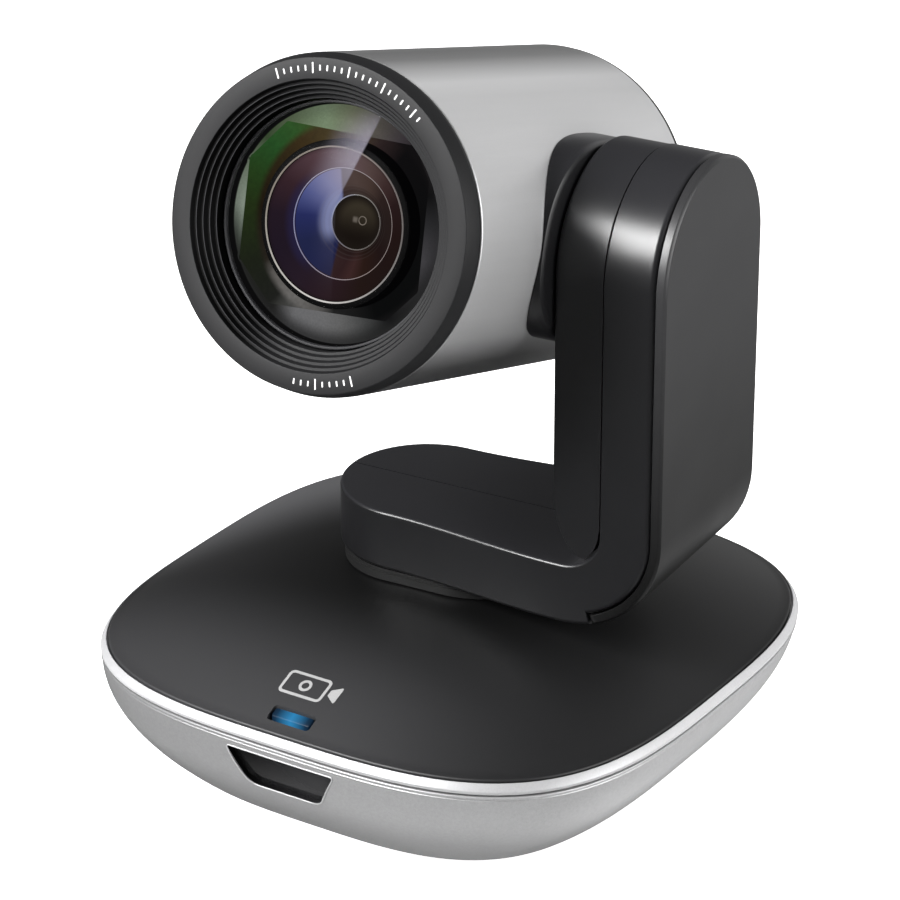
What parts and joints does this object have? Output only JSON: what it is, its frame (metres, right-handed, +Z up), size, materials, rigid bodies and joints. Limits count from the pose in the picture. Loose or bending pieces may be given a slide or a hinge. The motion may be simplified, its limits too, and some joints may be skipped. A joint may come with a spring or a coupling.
{
  "type": "ptz camera",
  "caption": "Desktop pan-tilt-zoom camera: cylindrical zoom head on an L-shaped arm that turns on a low rounded-square base.",
  "frame": {"origin": "on the table under the pan axis, at the centre of the base", "axes": "+Z up, the base's front faces -Y, the arm's upright stands at +X"},
  "size_m": [0.13, 0.13, 0.165],
  "materials": {
    "silver_paint": "fine speckled silver paint, satin",
    "bright_trim": "smooth bright silver",
    "charcoal_satin": "charcoal satin",
    "black_satin": "black satin",
    "black_plastic": "black matte",
    "black_gloss": "infrared-clear black gloss",
    "barrel_silver": "satin silver, metallic",
    "lens_glass": "coated optical glass",
    "indicator_blue": "translucent blue",
    "plain_steel": "plain steel",
    "plain_brass": "turned brass",
    "bearing_bronze": "sintered bronze",
    "soft_rubber": "soft black rubber",
    "gear_nylon": "natural nylon",
    "circuit_board": "green solder mask"
  },
  "bodies": {
    "base": {"lower_housing": "silver_paint", "rim_trim": "bright_trim", "top_cover": "charcoal_satin", "bottom_plate": "plain_steel", "tripod_insert": "plain_brass", "rubber_ring": "soft_rubber", "main_board": "circuit_board", "usb_port": "plain_steel", "power_jack": "black_plastic", "ir_receiver": "black_plastic", "ir_window": "black_gloss", "indicator_window": "indicator_blue", "indicator_board": "circuit_board", "pan_chassis": "plain_steel", "pan_bearing": "bearing_bronze", "pan_motor": "plain_steel", "base_screw_1": "plain_steel", "base_screw_2": "plain_steel", "base_screw_3": "plain_steel", "base_screw_4": "plain_steel"},
    "pan_pinion": {"pan_pinion": "plain_brass"},
    "arm": {"arm_shell": "black_satin", "foot_lid": "black_satin", "arm_side_cover": "black_satin", "arm_inner_cover": "black_satin", "arm_frame": "plain_steel", "foot_plinth": "black_plastic", "pan_spindle": "plain_steel", "pan_gear": "gear_nylon", "tilt_motor": "plain_steel", "tilt_bearing": "bearing_bronze", "idler_pin": "plain_steel"},
    "idler_gear": {"idler_gear": "gear_nylon"},
    "tilt_pinion": {"tilt_pinion": "plain_brass"},
    "head": {"head_barrel": "barrel_silver", "rear_cap": "black_plastic", "bezel": "charcoal_satin", "window_ring": "bright_trim", "front_glass": "lens_glass", "lens_baffle": "black_plastic", "lens_front_housing": "black_plastic", "front_lens": "lens_glass", "lens_chassis": "black_plastic", "guide_rod_left": "plain_steel", "guide_rod_right": "plain_steel", "zoom_motor": "plain_steel", "focus_motor": "plain_steel", "image_sensor": "black_gloss", "sensor_board": "circuit_board", "video_board": "circuit_board", "lens_bracket": "plain_steel", "tilt_saddle": "black_satin", "tilt_hub": "plain_steel", "tilt_gear": "gear_nylon"},
    "zoom_group": {"zoom_carriage": "black_plastic", "zoom_lens": "lens_glass"},
    "focus_group": {"focus_carriage": "black_plastic", "focus_lens": "lens_glass"},
    "zoom_leadscrew": {"zoom_leadscrew": "plain_brass"},
    "focus_leadscrew": {"focus_leadscrew": "plain_brass"}
  },
  "joints": [
    {"name": "pan", "type": "hinge", "parent": "base", "child": "arm", "pos_m": [0, 0, 0.045], "axis": [0, 0, 1], "range_deg": [-134, 126]},
    {"name": "pan_pinion_spin", "type": "hinge", "parent": "base", "child": "pan_pinion", "pos_m": [0, 0.03, 0.033], "axis": [0, 0, 1], "range_deg": [-520, 550]},
    {"name": "tilt", "type": "hinge", "parent": "arm", "child": "head", "pos_m": [0, 0, 0.1186], "axis": [-0.9976, -0.0698, 0], "range_deg": [-54.3, 73.7]},
    {"name": "idler_spin", "type": "hinge", "parent": "arm", "child": "idler_gear", "pos_m": [0.05287, 0.0037, 0.0994], "axis": [-0.9976, -0.0698, 0], "range_deg": [-225, 165]},
    {"name": "tilt_pinion_spin", "type": "hinge", "parent": "arm", "child": "tilt_pinion", "pos_m": [0.05287, 0.0037, 0.0862], "axis": [-0.9976, -0.0698, 0], "range_deg": [-440, 595]},
    {"name": "zoom_slide", "type": "slide", "parent": "head", "child": "zoom_group", "axis": [-0.067, 0.9575, -0.2807], "range_m": [0, 0.012]},
    {"name": "zoom_screw_spin", "type": "hinge", "parent": "head", "child": "zoom_leadscrew", "pos_m": [0.00106, -0.01509, 0.13813], "axis": [-0.067, 0.9575, -0.2807], "range_deg": [-5, 1445]},
    {"name": "focus_slide", "type": "slide", "parent": "head", "child": "focus_group", "axis": [-0.067, 0.9575, -0.2807], "range_m": [-0.0025, 0.0025]},
    {"name": "focus_screw_spin", "type": "hinge", "parent": "head", "child": "focus_leadscrew", "pos_m": [0.00162, -0.02321, 0.1103], "axis": [-0.067, 0.9575, -0.2807], "range_deg": [-305, 305]}
  ],
  "couplings": [
    {"joint": "pan_pinion_spin", "follows": "pan", "ratio": -4},
    {"joint": "idler_spin", "follows": "tilt", "ratio": -3},
    {"joint": "tilt_pinion_spin", "follows": "tilt", "ratio": 8},
    {"joint": "zoom_screw_spin", "follows": "zoom_slide", "rad_per_m": 2094.4},
    {"joint": "focus_screw_spin", "follows": "focus_slide", "rad_per_m": 2094.4}
  ]
}
